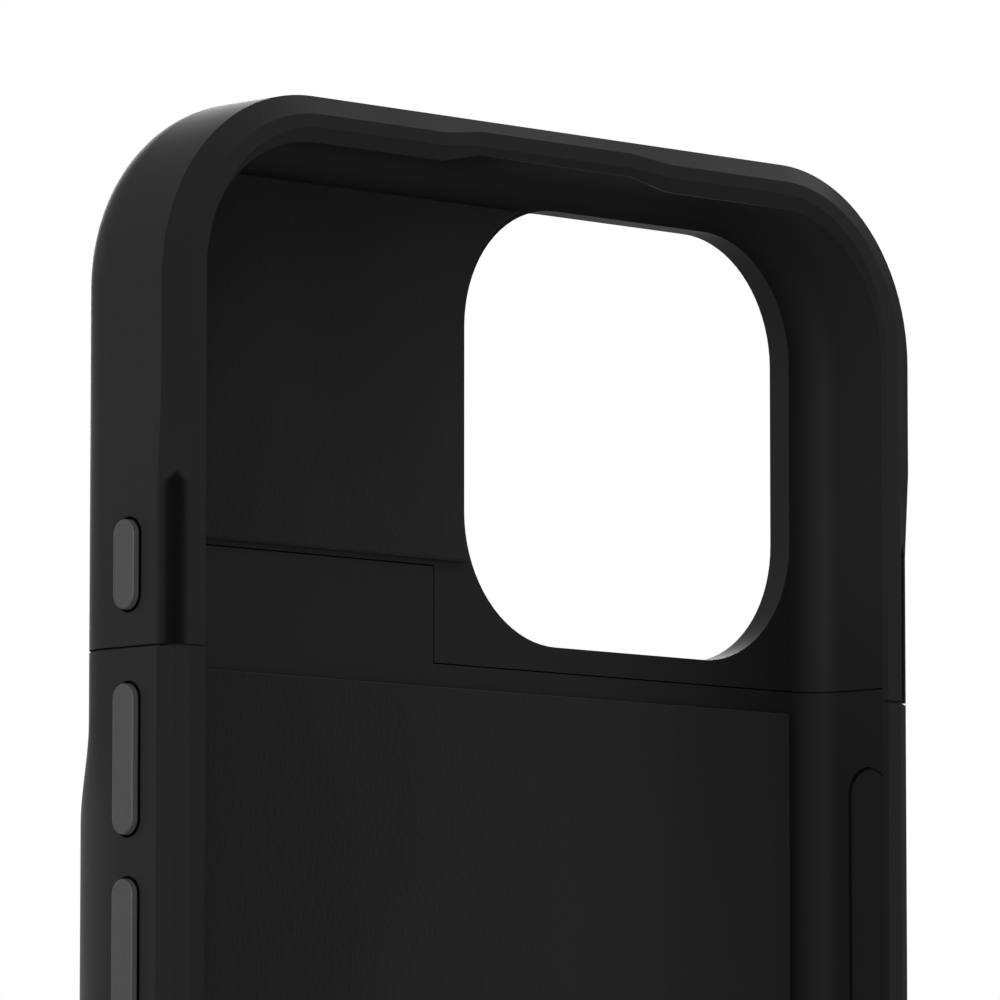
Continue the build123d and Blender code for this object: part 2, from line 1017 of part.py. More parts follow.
with BuildPart() as battery_cell:
    upright_block(
        0,
        (cell_bottom + cell_top) / 2,
        cell_width,
        cell_height,
        tray_back + tape_thickness,
        tray_back + tape_thickness + cell_thickness,
        cell_corner,
    )
    chamfer(battery_cell.edges().filter_by(Axis.Y, reverse=True), cell_edge)
battery_cell.part.label = "battery_cell"
export_step(battery_cell.part, "parts/battery_cell.step")

with BuildPart() as cell_tabs:
    for side in (-1, 1):
        upright_block(
            side * tab_spacing / 2,
            (board_top - tab_reach + cell_bottom) / 2,
            tab_width,
            cell_bottom - board_top + tab_reach,
            board_back,
            board_back + tab_thickness,
        )
cell_tabs.part.label = "cell_tabs"
export_step(cell_tabs.part, "parts/cell_tabs.step")
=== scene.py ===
"""Looks of a slide-on battery charging case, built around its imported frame.

Metres, in the frame's own axes: X to the right as the open front is seen, Y to the back, Z up.
Each operator dresses one piece or one group of like pieces, and the last one sets the stage.
"""

import json
import math

import bmesh
import bpy
from bpy.props import FloatProperty, FloatVectorProperty, IntProperty, PointerProperty
from bpy.types import NodeSocket, Operator, Panel, PropertyGroup
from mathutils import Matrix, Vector

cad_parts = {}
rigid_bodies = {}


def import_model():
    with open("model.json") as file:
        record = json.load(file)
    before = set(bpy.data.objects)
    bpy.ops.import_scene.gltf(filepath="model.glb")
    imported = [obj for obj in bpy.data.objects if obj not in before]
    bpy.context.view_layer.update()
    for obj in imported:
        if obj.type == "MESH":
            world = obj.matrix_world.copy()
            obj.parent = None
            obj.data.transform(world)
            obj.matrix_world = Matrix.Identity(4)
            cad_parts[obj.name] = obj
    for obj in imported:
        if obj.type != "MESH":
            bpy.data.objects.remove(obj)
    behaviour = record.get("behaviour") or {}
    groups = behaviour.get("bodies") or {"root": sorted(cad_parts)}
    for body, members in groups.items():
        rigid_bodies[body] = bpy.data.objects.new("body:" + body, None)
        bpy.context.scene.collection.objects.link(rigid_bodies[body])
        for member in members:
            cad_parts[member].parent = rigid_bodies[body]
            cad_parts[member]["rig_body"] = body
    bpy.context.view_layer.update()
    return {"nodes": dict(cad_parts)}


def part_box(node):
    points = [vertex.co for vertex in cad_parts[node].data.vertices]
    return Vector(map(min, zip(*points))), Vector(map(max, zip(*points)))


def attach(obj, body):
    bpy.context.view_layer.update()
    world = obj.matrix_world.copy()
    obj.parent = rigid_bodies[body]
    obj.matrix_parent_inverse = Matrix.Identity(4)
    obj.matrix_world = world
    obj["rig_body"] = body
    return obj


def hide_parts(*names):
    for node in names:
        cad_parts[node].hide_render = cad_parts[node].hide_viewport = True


bl_info = {
    "name": "Battery Charging Case",
    "version": (1, 0, 0),
    "blender": (4, 5, 0),
    "location": "View3D > Sidebar > Charging Case",
    "description": "Dresses the parts of a battery charging case and sets a studio stage",
    "category": "Object",
}

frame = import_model()

MM = 0.001

# Joining, rounding and shading of the frame's triangles
MERGE_DISTANCE = 0.002 * MM
HAIRLINE = 0.02 * MM
FLAT_ANGLE = math.radians(0.6)
SHARP_ANGLE = math.radians(20)
ROUNDED_ANGLE = math.radians(40)
LARGE_FACE_WEIGHT = 100
FOIL_EDGE = 0.02 * MM
LEAF_TREE = "metal_leaves"
LEAF_STEPS = 6

# Patterns of the materials: where noise starts and ends, and how far it moves a value
PATTERN_LOW, PATTERN_HIGH = 0.3, 0.7
CLOUD_SIZE = 18 * MM
GRAIN_STRENGTH = 0.35
PLASTIC_DRIFT = 0.05
METAL_DRIFT = 0.03
# Share of a face's normal along X at which the dulling starts and is full
DULL_START, DULL_FULL = 0.15, 0.45
# Length of one band of the wave texture at a scale of 1
WAVE_PERIOD = 0.314

WHITE = (1, 1, 1, 1)
SENSOR_WIDTH = 36.0
CLIP_START, CLIP_END = 0.01, 20.0
LIGHT_AIM = Vector((0, 0, 0.12))
# Name, place and side in metres, and power in watts
SOFT_BOXES = (
    ("left_softbox", (-1.0, -0.1, 0.3), 0.6, 7.5),
    ("right_softbox", (0.7, -0.31, 0.77), 0.4, 3.6),
    ("front_softbox", (-0.75, -0.6, 0.3), 0.5, 1.0),
    ("back_softbox", (0.6, 0.9, 0.5), 0.5, 6.0),
)


def colour_property(name, description, default):
    """Colour that a user would change."""
    return FloatVectorProperty(
        name=name, description=description, subtype="COLOR", size=3, min=0, max=1, default=default
    )


def length_property(name, description, default):
    """Length in metres that a user would change."""
    return FloatProperty(
        name=name,
        description=description,
        subtype="DISTANCE",
        unit="LENGTH",
        default=default,
        precision=6,
    )


def share_property(name, description, default):
    """Share from 0 to 1 that a user would change."""
    return FloatProperty(
        name=name, description=description, subtype="FACTOR", min=0, max=1, default=default
    )


class MouldingFinish(PropertyGroup):
    """Colours, grain and edges of the moulded halves and buttons."""

    shell_colour: colour_property("Shell", "Matt black of the two halves", (0.013, 0.013, 0.0133))
    shell_roughness: share_property("Shell roughness", "Mean roughness of the halves", 0.54)
    shell_gloss: share_property("Shell gloss", "Specular level of the halves", 0.06)
    shell_dulling: share_property("Shell dulling", "Roughness added on faces turned right", 0.4)
    button_colour: colour_property("Buttons", "Softer black of the buttons", (0.042, 0.042, 0.043))
    # Painted light: the lighter colour of a button's wall just below its face, standing in for
    # light falling on that wall
    wall_light_colour: colour_property("Button rims", "Rubbed wall round a face", (0.1, 0.1, 0.102))
    # Painted shade: black on the part of a button's wall that sits deeper in its slot, where shade
    # falls in the gap
    slot_shade_colour: colour_property("Button skirts", "Black below a rim", (0.002, 0.002, 0.002))
    flange_colour: colour_property("Flanges", "Black behind the wall", (0.012, 0.012, 0.0123))
    # Depth at which the painted light on a button's wall begins
    wall_light_start: length_property("Rim start", "Depth at which a button's rim begins", 0.13 * MM)
    # Depth at which the painted shade in a button's slot begins
    slot_shade_start: length_property("Rim end", "Depth at which a button's skirt begins", 0.42 * MM)
    flange_start: length_property("Flange start", "Depth at which a flange begins", 1.2 * MM)
    button_roughness: share_property("Button roughness", "Mean roughness of the buttons", 0.45)
    button_gloss: share_property("Button gloss", "Specular level of the buttons", 0.2)
    grain_size: length_property("Grain", "Size of the moulded texture's grains", 0.12 * MM)
    grain_height: length_property("Grain height", "Height of the moulded texture", 0.008 * MM)
    edge_width: length_property("Edge", "Width of the softened edges", 0.1 * MM)
    edge_segments: IntProperty(
        name="Edge steps", description="Facets across a softened edge", min=1, default=2
    )


class LiningFinish(PropertyGroup):
    """Colour and nap of the soft linings."""

    cloth_colour: colour_property("Cloth", "Dark grey of the nap", (0.013, 0.013, 0.014))
    nap_size: length_property("Nap", "Size of the tufts in the nap", 0.35 * MM)
    cloth_edge: length_property("Cloth edge", "Rounding of the cut edges", 0.16 * MM)


class ConnectorFinish(PropertyGroup):
    """Contacts and finishes of the plug and the charging socket."""

    metal_colour: colour_property("Shell metal", "Plated connector metal", (0.56, 0.56, 0.55))
    contact_colour: colour_property("Contacts", "Gold flash on the contacts", (0.83, 0.6, 0.26))
    insert_colour: colour_property("Inserts", "Black connector plastic", (0.012, 0.012, 0.013))
    film_colour: colour_property("Film", "Amber film of the ribbon", (0.42, 0.15, 0.03))
    contact_count: IntProperty(name="Contacts", description="Contacts in a row", min=1, default=12)
    contact_pitch: length_property("Pitch", "Distance between contacts", 0.5 * MM)
    contact_width: length_property("Contact width", "Width of a contact", 0.24 * MM)
    insert_edge: length_property("Insert edge", "Rounding on the plastic inserts", 0.03 * MM)
    contact_thickness: length_property("Contact thickness", "Thickness of a contact", 0.06 * MM)
    spring_root: length_property("Spring root", "Depth at which a plug contact starts", 4.6 * MM)
    spring_bow: length_property("Spring bow", "Depth at which a plug contact bows", 2.0 * MM)
    spring_tip: length_property("Spring tip", "Depth at which a plug contact ends", 0.3 * MM)
    spring_spread: length_property("Spring spread", "Plug's middle to a contact's ends", 0.41 * MM)
    spring_gap: length_property("Spring gap", "Plug's middle to a contact's bow", 0.12 * MM)
    pad_start: length_property("Pad start", "From the tongue's tip to a pad", 0.25 * MM)
    pad_length: length_property("Pad length", "Length of a pad on the tongue", 4.15 * MM)
    metal_edge: length_property("Metal edge", "Rounding of the metal's edges", 0.1 * MM)


class BoardFinish(PropertyGroup):
    """Finishes of the circuit board, the parts on it and the charge lights."""

    mask_colour: colour_property("Solder mask", "Green of the board", (0.012, 0.11, 0.045))
    track_colour: colour_property("Tracks", "Green over the copper tracks", (0.03, 0.2, 0.08))
    chip_colour: colour_property("Chips", "Dark resin of the chips", (0.02, 0.02, 0.022))
    coil_colour: colour_property("Coil", "Grey of the moulded coil", (0.075, 0.075, 0.08))
    ceramic_colour: colour_property("Ceramic", "Tan of the capacitors", (0.42, 0.27, 0.15))
    solder_colour: colour_property("Solder", "Tinned ends and leads", (0.68, 0.68, 0.67))
    steel_colour: colour_property("Steel", "Zinc of the screws and the switch", (0.55, 0.55, 0.54))
    resin_colour: colour_property("Light resin", "Yellow resin of the lights", (0.8, 0.72, 0.4))
    pipe_colour: colour_property("Light pipes", "Milky plastic of the pipes", (0.3, 0.31, 0.32))
    pipe_clarity: share_property("Pipe clarity", "Share of light that the pipes let through", 0.3)
    lead_count: IntProperty(name="Leads", description="Leads on a chip's side", min=1, default=8)
    lead_pitch: length_property("Lead pitch", "Distance between leads", 0.55 * MM)
    lead_width: length_property("Lead width", "Width of a lead", 0.28 * MM)
    lead_thickness: length_property("Lead thickness", "Thickness of a lead", 0.12 * MM)
    lead_reach: length_property("Lead reach", "How far a lead stands out", 0.55 * MM)
    lead_height: length_property("Lead height", "How high a lead leaves its chip", 0.3 * MM)
    capacitor_columns: IntProperty(
        name="Capacitors", description="Capacitors in a row", min=2, default=3
    )
    capacitor_length: length_property("Capacitor length", "Length of a capacitor", 1.6 * MM)
    capacitor_width: length_property("Capacitor width", "Width of a capacitor", 0.8 * MM)
    end_cap_length: length_property("End caps", "Length of a capacitor's tinned end", 0.3 * MM)
    end_cap_rise: length_property("End cap rise", "How far an end stands proud", 0.02 * MM)
    recess_width: length_property("Recess width", "Width of a screw's cross", 0.35 * MM)
    recess_length: length_property("Recess length", "Length of a screw's cross", 1.5 * MM)
    recess_depth: length_property("Recess depth", "Depth of a screw's cross", 0.4 * MM)
    part_edge: length_property("Part edge", "Rounding of the parts on the board", 0.06 * MM)


class CellFinish(PropertyGroup):
    """Finishes of the pouch cell, its adhesive and its tabs."""

    foil_colour: colour_property("Foil", "Laminated foil of the pouch", (0.6, 0.61, 0.62))
    adhesive_colour: colour_property("Adhesive", "Milky adhesive film", (0.72, 0.71, 0.66))
    tab_colour: colour_property("Tabs", "Nickel of the tabs", (0.58, 0.57, 0.54))
    pouch_edge: length_property("Pouch edge", "Rounding of the pouch", 0.5 * MM)


class StageSetup(PropertyGroup):
    """Camera, light and floor."""

    camera_place: FloatVectorProperty(
        name="Camera place",
        description="Where the camera stands",
        subtype="TRANSLATION",
        unit="LENGTH",
        size=3,
        default=(-390.9 * MM, -398.9 * MM, 76.3 * MM),
    )
    camera_heading: FloatProperty(
        name="Camera heading",
        description="Turn from +Y towards +X",
        subtype="ANGLE",
        unit="ROTATION",
        default=math.radians(44.56),
    )
    camera_pitch: FloatProperty(
        name="Camera pitch",
        description="Rise of the view above the horizon",
        subtype="ANGLE",
        unit="ROTATION",
        default=math.radians(5.9),
    )
    camera_lens: FloatProperty(
        name="Lens", description="Focal length", unit="CAMERA", default=289.9
    )
    floor_colour: colour_property("Floor", "Pale floor", (0.78, 0.78, 0.78))
    floor_half: length_property("Floor half width", "Half the width of the floor", 3.0)
    floor_near: length_property("Floor near", "Where the floor starts to fade into white", 0.3)
    floor_far: length_property("Floor far", "Where the floor is white", 0.85)
    surround: FloatProperty(
        name="Surround", description="Soft light from all round", min=0, default=0.3
    )


class NodeSketch:
    """Short way to write a tree's nodes and links."""

    def __init__(self, tree):
        self.tree = tree
        tree.nodes.clear()

    def add(self, kind, values=(), links=(), **settings):
        """New node with its settings, socket values and links into it."""
        node = self.tree.nodes.new(kind)
        for key, value in settings.items():
            setattr(node, key, value)
        for key, value in dict(values).items():
            node.inputs[key].default_value = value
        for key, source in dict(links).items():
            self.tree.links.new(source, node.inputs[key])
        return node

    def compute(self, operation, *terms):
        """Result of a calculation with numbers and sockets."""
        sockets = {i: term for i, term in enumerate(terms) if isinstance(term, NodeSocket)}
        numbers = {i: term for i, term in enumerate(terms) if i not in sockets}
        return self.add("ShaderNodeMath", numbers, sockets, operation=operation).outputs[0]


class FinishSketch(NodeSketch):
    """Material being written, with its place on the piece."""

    def __init__(self, name):
        self.material = bpy.data.materials.new(name)
        self.material.use_nodes = True
        super().__init__(self.material.node_tree)
        self.place = self.add("ShaderNodeTexCoord").outputs["Object"]

    def noise(self, size, detail=2.0, stretch=(1, 1, 1)):
        """Cloudy pattern of this size, pulled out along an axis by a small stretch."""
        turned = self.add("ShaderNodeMapping", {"Scale": stretch}, {"Vector": self.place})
        pattern = self.add(
            "ShaderNodeTexNoise",
            {"Scale": 1 / size, "Detail": detail},
            {"Vector": turned.outputs["Vector"]},
        )
        return pattern.outputs["Fac"]

    def spread(self, source, low, high):
        """Middle of a pattern, spread between two values."""
        mapped = self.add(
            "ShaderNodeMapRange",
            {"From Min": PATTERN_LOW, "From Max": PATTERN_HIGH, "To Min": low, "To Max": high},
            {"Value": source},
        )
        return mapped.outputs["Result"]

    def right_share(self, most):
        """Value that grows to its most on faces turned to the right."""
        normal = self.add("ShaderNodeNewGeometry").outputs["Normal"]
        rightward = self.add("ShaderNodeSeparateXYZ", links={"Vector": normal}).outputs["X"]
        grown = self.add(
            "ShaderNodeMapRange",
            {"From Min": DULL_START, "From Max": DULL_FULL, "To Max": most},
            {"Value": rightward},
        )
        return grown.outputs["Result"]

    def tint(self, source, colour, low, high):
        """A colour made darker or lighter by a pattern, between two shares of it."""
        ramp = self.add("ShaderNodeValToRGB", links={"Fac": source})
        ends = ((PATTERN_LOW, low), (PATTERN_HIGH, high))
        for element, (position, share) in zip(ramp.color_ramp.elements, ends):
            element.position = position
            element.color = opaque(shade(colour, share))
        return ramp.outputs["Color"]

    def bump(self, source, height, strength):
        """Relief of this height from a pattern."""
        relief = self.add(
            "ShaderNodeBump", {"Strength": strength, "Distance": height}, {"Height": source}
        )
        return relief.outputs["Normal"]

    def close(self, values, links):
        """Principled surface, connected to the output; returns the material."""
        shader = self.add("ShaderNodeBsdfPrincipled", values, links)
        self.add("ShaderNodeOutputMaterial", links={"Surface": shader.outputs["BSDF"]})
        return self.material


def opaque(colour):
    """Colour with full alpha."""
    return (*colour, 1.0)


def shade(colour, share):
    """The same colour, darker or lighter."""
    return tuple(channel * share for channel in colour)


def moulded_plastic(name, colour, roughness, gloss, grain_size, grain_height, dulling=0.0):
    """Moulded plastic with a fine spark-eroded grain, duller on the right if asked."""
    finish = FinishSketch(name)
    grain = finish.noise(grain_size, detail=3.0)
    cloud = finish.noise(CLOUD_SIZE)
    sheen = finish.spread(cloud, roughness - PLASTIC_DRIFT, roughness + PLASTIC_DRIFT)
    if dulling:
        sheen = finish.compute("ADD", sheen, finish.right_share(dulling))
    return finish.close(
        {"Specular IOR Level": gloss},
        {
            "Base Color": finish.tint(grain, colour, 0.9, 1.1),
            "Roughness": sheen,
            "Normal": finish.bump(grain, grain_height, GRAIN_STRENGTH),
        },
    )


def button_plastic(look, side_reach, back_reach):
    """Satin button with painted light on its wall round the face, painted shade in the slot below
    that, and a dark flange.
    """
    finish = FinishSketch("button_plastic")
    grain = finish.noise(look.grain_size, detail=3.0)
    axes = finish.add("ShaderNodeSeparateXYZ", links={"Vector": finish.place}).outputs
    outward = finish.compute("ABSOLUTE", axes["X"])
    side_depth = finish.compute("SUBTRACT", side_reach, outward)
    back_depth = finish.compute("SUBTRACT", back_reach, axes["Y"])
    depth = finish.compute("MINIMUM", side_depth, back_depth)
    deepest = 2 * look.flange_start
    zones = finish.add("ShaderNodeMapRange", {"From Max": deepest}, {"Value": depth})
    paint = finish.add("ShaderNodeValToRGB", links={"Fac": zones.outputs["Result"]})
    paint.color_ramp.interpolation = "CONSTANT"
    bands = paint.color_ramp.elements
    bands[0].color = opaque(look.button_colour)
    bands[1].position = look.flange_start / deepest
    bands[1].color = opaque(look.flange_colour)
    # Painted light on the wall from the first depth, then painted shade where the button sits in
    # its slot from the second
    for start, colour in ((look.wall_light_start, look.wall_light_colour), (look.slot_shade_start, look.slot_shade_colour)):
        bands.new(start / deepest).color = opaque(colour)
    mottled = finish.add(
        "ShaderNodeVectorMath",
        links={"Vector": paint.outputs["Color"], "Scale": finish.spread(grain, 0.9, 1.1)},
        operation="SCALE",
    )
    cloud = finish.noise(CLOUD_SIZE)
    roughness = look.button_roughness
    return finish.close(
        {"Specular IOR Level": look.button_gloss},
        {
            "Base Color": mottled.outputs["Vector"],
            "Roughness": finish.spread(
                cloud, roughness - PLASTIC_DRIFT, roughness + PLASTIC_DRIFT
            ),
            "Normal": finish.bump(grain, look.grain_height / 2, GRAIN_STRENGTH),
        },
    )


def nap_cloth(name, colour, nap_size):
    """Short brushed nap: tufts that lie a little up and down, with a soft sheen."""
    finish = FinishSketch(name)
    tufts = finish.noise(nap_size, detail=4.0, stretch=(1, 1, 0.6))
    brushed = finish.noise(14 * MM, stretch=(1, 1, 0.35))
    return finish.close(
        {
            "Roughness": 0.9,
            "Specular IOR Level": 0.05,
            "Sheen Weight": 0.06,
            "Sheen Roughness": 0.6,
        },
        {
            "Base Color": finish.tint(brushed, colour, 0.85, 1.15),
            "Normal": finish.bump(tufts, height=0.1 * MM, strength=0.5),
        },
    )


def worked_metal(name, colour, roughness, line_size, stretch=(1, 1, 1)):
    """Bare metal, cloudy or with drawn lines along the axis that is stretched."""
    finish = FinishSketch(name)
    lines = finish.noise(line_size, detail=3.0, stretch=stretch)
    return finish.close(
        {"Metallic": 1.0},
        {
            "Base Color": finish.tint(lines, colour, 0.92, 1.05),
            "Roughness": finish.spread(lines, roughness - METAL_DRIFT, roughness + METAL_DRIFT),
            "Normal": finish.bump(lines, height=0.001 * MM, strength=0.1),
        },
    )


def amber_film(name, colour, track_pitch):
    """Amber ribbon with copper tracks under the film."""
    finish = FinishSketch(name)
    bands = finish.add(
        "ShaderNodeTexWave",
        {"Scale": WAVE_PERIOD / track_pitch, "Distortion": 0.0},
        {"Vector": finish.place},
        wave_type="BANDS",
        bands_direction="X",
    )
    return finish.close(
        {"Specular IOR Level": 0.5, "Roughness": 0.25},
        {
            "Base Color": finish.tint(bands.outputs["Fac"], colour, 1.0, 1.7),
            "Normal": finish.bump(bands.outputs["Fac"], height=0.02 * MM, strength=0.5),
        },
    )


def masked_board(name, mask, track):
    """Solder mask over a grid of copper tracks."""
    finish = FinishSketch(name)
    upright = finish.add(
        "ShaderNodeMapping",
        {"Rotation": (math.pi / 2, 0, 0), "Scale": (1 / MM, 1 / MM, 1 / MM)},
        {"Vector": finish.place},
    )
    tracks = finish.add(
        "ShaderNodeTexBrick",
        {
            "Color1": opaque(mask),
            "Color2": opaque(shade(mask, 1.15)),
            "Mortar": opaque(track),
            "Scale": 1.0,
            "Mortar Size": 0.07,
            "Brick Width": 1.8,
            "Row Height": 0.7,
        },
        {"Vector": upright.outputs["Vector"]},
    )
    return finish.close(
        {"Specular IOR Level": 0.5},
        {
            "Base Color": tracks.outputs["Color"],
            "Roughness": finish.spread(finish.noise(3 * MM), 0.3, 0.42),
            "Normal": finish.bump(tracks.outputs["Fac"], height=0.02 * MM, strength=0.5),
        },
    )


def fired_gloss(name, colour, mottle_size):
    """Glossy ceramic or resin with a soft mottle."""
    finish = FinishSketch(name)
    mottle = finish.noise(mottle_size)
    return finish.close(
        {"Specular IOR Level": 0.5},
        {
            "Base Color": finish.tint(mottle, colour, 0.88, 1.1),
            "Roughness": finish.spread(mottle, 0.22, 0.36),
        },
    )


def pouch_foil(name, colour):
    """Laminated foil with faint waves and a fine embossing."""
    finish = FinishSketch(name)
    waves = finish.noise(16 * MM)
    emboss = finish.add(
        "ShaderNodeTexVoronoi", {"Scale": 1 / (0.6 * MM)}, {"Vector": finish.place}
    )
    return finish.close(
        {"Metallic": 1.0},
        {
            "Base Color": finish.tint(waves, colour, 0.94, 1.04),
            "Roughness": finish.spread(waves, 0.3, 0.42),
            "Normal": finish.bump(emboss.outputs["Distance"], height=0.01 * MM, strength=0.25),
        },
    )


def frosted_plastic(name, colour, clarity):
    """Frosted light pipe, milky where the light spreads in it."""
    finish = FinishSketch(name)
    frost = finish.noise(0.4 * MM, detail=3.0)
    return finish.close(
        {"Transmission Weight": clarity, "IOR": 1.49},
        {
            "Base Color": finish.tint(frost, colour, 0.9, 1.0),
            "Roughness": finish.spread(frost, 0.4, 0.55),
        },
    )


def merged_copy(node_name, name, clear_flats=True, weld=MERGE_DISTANCE):
    """New object with a node's triangles joined, flats cleared if asked and sharp edges marked."""
    bm = bmesh.new()
    bm.from_mesh(frame["nodes"][node_name].data)
    bmesh.ops.remove_doubles(bm, verts=bm.verts, dist=weld)
    if clear_flats:
        bmesh.ops.dissolve_limit(bm, angle_limit=FLAT_ANGLE, verts=bm.verts, edges=bm.edges)
    for face in bm.faces:
        face.smooth = True
    for edge in bm.edges:
        edge.smooth = edge.calc_face_angle(0) < SHARP_ANGLE
    mesh = bpy.data.meshes.new(name)
    bm.to_mesh(mesh)
    bm.free()
    return link_piece(name, mesh)


def link_piece(name, mesh):
    """New object in the scene for a mesh."""
    obj = bpy.data.objects.new(name, mesh)
    bpy.context.scene.collection.objects.link(obj)
    return obj


def round_edges(obj, width, segments):
    """Rounds an object's sharp edges."""
    bevel = obj.modifiers.new("Softened edges", "BEVEL")
    bevel.limit_method = "ANGLE"
    bevel.angle_limit = ROUNDED_ANGLE
    bevel.width = width
    bevel.segments = segments
    bevel.use_clamp_overlap = True


def even_shading(obj):
    """Lets an object's large faces rule its shading."""
    weight = obj.modifiers.new("Even shading", "WEIGHTED_NORMAL")
    weight.keep_sharp = True
    weight.weight = LARGE_FACE_WEIGHT


def set_finish(obj, material, node_name):
    """Gives an object its material, and lets it ride with a node's body."""
    obj.data.materials.clear()
    obj.data.materials.append(material)
    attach(obj, frame["nodes"][node_name]["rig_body"])


def stand_for(node_name, name, material, edge=0.0, segments=2, weld=MERGE_DISTANCE):
    """Copy of a node that takes the node's place, with its edges rounded if a width is given."""
    piece = merged_copy(node_name, name, clear_flats=edge > 0, weld=weld)
    if edge > 0:
        round_edges(piece, edge, segments)
    even_shading(piece)
    set_finish(piece, material, node_name)
    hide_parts(node_name)
    return piece


def box_middle(node_name):
    """Middle of a node's box."""
    low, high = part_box(node_name)
    return (Vector(low) + Vector(high)) / 2


def box_size(node_name):
    """Sides of a node's box."""
    low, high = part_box(node_name)
    return Vector(high) - Vector(low)


def tree_socket(tree, kind, name, way="INPUT"):
    """Named socket on a geometry tree's outside."""
    return tree.interface.new_socket(name=name, in_out=way, socket_type=kind)


def leaf_tree():
    """Geometry nodes that bend a metal leaf, repeat it in a row, turn the row round and copy it."""
    tree = bpy.data.node_groups.new(LEAF_TREE, "GeometryNodeTree")
    sketch = NodeSketch(tree)
    for kind, names in (
        ("NodeSocketVector", ("Start", "Bend", "End", "Row Step", "Axis", "Centre", "Copy Step")),
        ("NodeSocketFloat", ("Width", "Thickness")),
        ("NodeSocketInt", ("Row Count", "Sides", "Copies")),
        ("NodeSocketMaterial", ("Material",)),
    ):
        for name in names:
            tree_socket(tree, kind, name)
    tree_socket(tree, "NodeSocketGeometry", "Geometry", "OUTPUT")
    given = sketch.add("NodeGroupInput").outputs
    spine = sketch.add(
        "GeometryNodeCurveQuadraticBezier",
        {"Resolution": LEAF_STEPS},
        {"Start": given["Start"], "Middle": given["Bend"], "End": given["End"]},
    )
    section = sketch.add(
        "GeometryNodeCurvePrimitiveQuadrilateral",
        links={"Width": given["Width"], "Height": given["Thickness"]},
        mode="RECTANGLE",
    )
    leaf = sketch.add(
        "GeometryNodeCurveToMesh",
        {"Fill Caps": True},
        {"Curve": spine.outputs["Curve"], "Profile Curve": section.outputs["Curve"]},
    )
    row = repeat(
        sketch, leaf.outputs["Mesh"], {"Count": given["Row Count"], "Offset": given["Row Step"]}
    )
    index = sketch.add("GeometryNodeInputIndex").outputs["Index"]
    step_turn = sketch.compute("DIVIDE", 2 * math.pi, given["Sides"])
    turned = sketch.add(
        "ShaderNodeVectorMath",
        links={"Vector": given["Axis"], "Scale": sketch.compute("MULTIPLY", index, step_turn)},
        operation="SCALE",
    )
    sides = repeat(
        sketch,
        row,
        {"Count": given["Sides"]},
        {"Offset": (0, 0, 0)},
        {"Rotation": turned.outputs["Vector"]},
    )
    copies = repeat(
        sketch,
        sides,
        {
            "Count": given["Copies"],
            "Start Location": given["Centre"],
            "Offset": given["Copy Step"],
        },
    )
    finish_tree(sketch, copies, given["Material"])
    return tree


def repeat(sketch, geometry, line_links, line_values=(), turn_links=()):
    """Copies of a geometry along a line, turned as the links say."""
    line = sketch.add("GeometryNodeMeshLine", line_values, line_links, mode="OFFSET")
    copies = sketch.add(
        "GeometryNodeInstanceOnPoints",
        links={"Points": line.outputs["Mesh"], "Instance": geometry, **dict(turn_links)},
    )
    return copies.outputs["Instances"]


def finish_tree(sketch, geometry, material):
    """Ends a geometry tree: instances made real, material set."""
    real = sketch.add("GeometryNodeRealizeInstances", links={"Geometry": geometry})
    dressed = sketch.add(
        "GeometryNodeSetMaterial",
        links={"Geometry": real.outputs["Geometry"], "Material": material},
    )
    sketch.add("NodeGroupOutput", links={"Geometry": dressed.outputs["Geometry"]})


def recess_tree():
    """Geometry nodes that cut a cross recess into screw heads along a line."""
    tree = bpy.data.node_groups.new("cross_recesses", "GeometryNodeTree")
    sketch = NodeSketch(tree)
    tree_socket(tree, "NodeSocketGeometry", "Geometry")
    for name in ("Long Arm", "Tall Arm", "Centre", "Step"):
        tree_socket(tree, "NodeSocketVector", name)
    tree_socket(tree, "NodeSocketInt", "Count")
    tree_socket(tree, "NodeSocketMaterial", "Material")
    tree_socket(tree, "NodeSocketGeometry", "Geometry", "OUTPUT")
    given = sketch.add("NodeGroupInput").outputs
    line = {"Count": given["Count"], "Start Location": given["Centre"], "Offset": given["Step"]}
    cut = given["Geometry"]
    for name in ("Long Arm", "Tall Arm"):
        arm = sketch.add("GeometryNodeMeshCube", links={"Size": given[name]})
        tools = repeat(sketch, arm.outputs["Mesh"], line)
        tool = sketch.add("GeometryNodeRealizeInstances", links={"Geometry": tools})
        cut = sketch.add(
            "GeometryNodeMeshBoolean",
            links={"Mesh 1": cut, "Mesh 2": tool.outputs["Geometry"]},
            operation="DIFFERENCE",
            solver="EXACT",
        ).outputs["Mesh"]
    finish_tree(sketch, cut, given["Material"])
    return tree


def run_tree(obj, tree, **inputs):
    """Runs a geometry tree on an object and keeps the result as its plain mesh."""
    modifier = obj.modifiers.new("Geometry", "NODES")
    modifier.node_group = tree
    for socket in tree.interface.items_tree:
        name = socket.name.lower().replace(" ", "_")
        if socket.in_out == "INPUT" and name in inputs:
            modifier[socket.identifier] = inputs[name]
    graph = bpy.context.evaluated_depsgraph_get()
    mesh = bpy.data.meshes.new_from_object(obj.evaluated_get(graph))
    if not mesh.polygons:
        raise RuntimeError(f"{obj.name} came out empty")
    obj.modifiers.clear()
    obj.data = mesh
    mesh.name = obj.name


def metal_leaves(name, material, slot, node_name, **inputs):
    """Piece made of bent metal leaves."""
    tree = bpy.data.node_groups.get(LEAF_TREE) or leaf_tree()
    piece = link_piece(name, bpy.data.meshes.new(name))
    run_tree(piece, tree, material=material, **inputs)
    set_finish(piece, material, node_name)


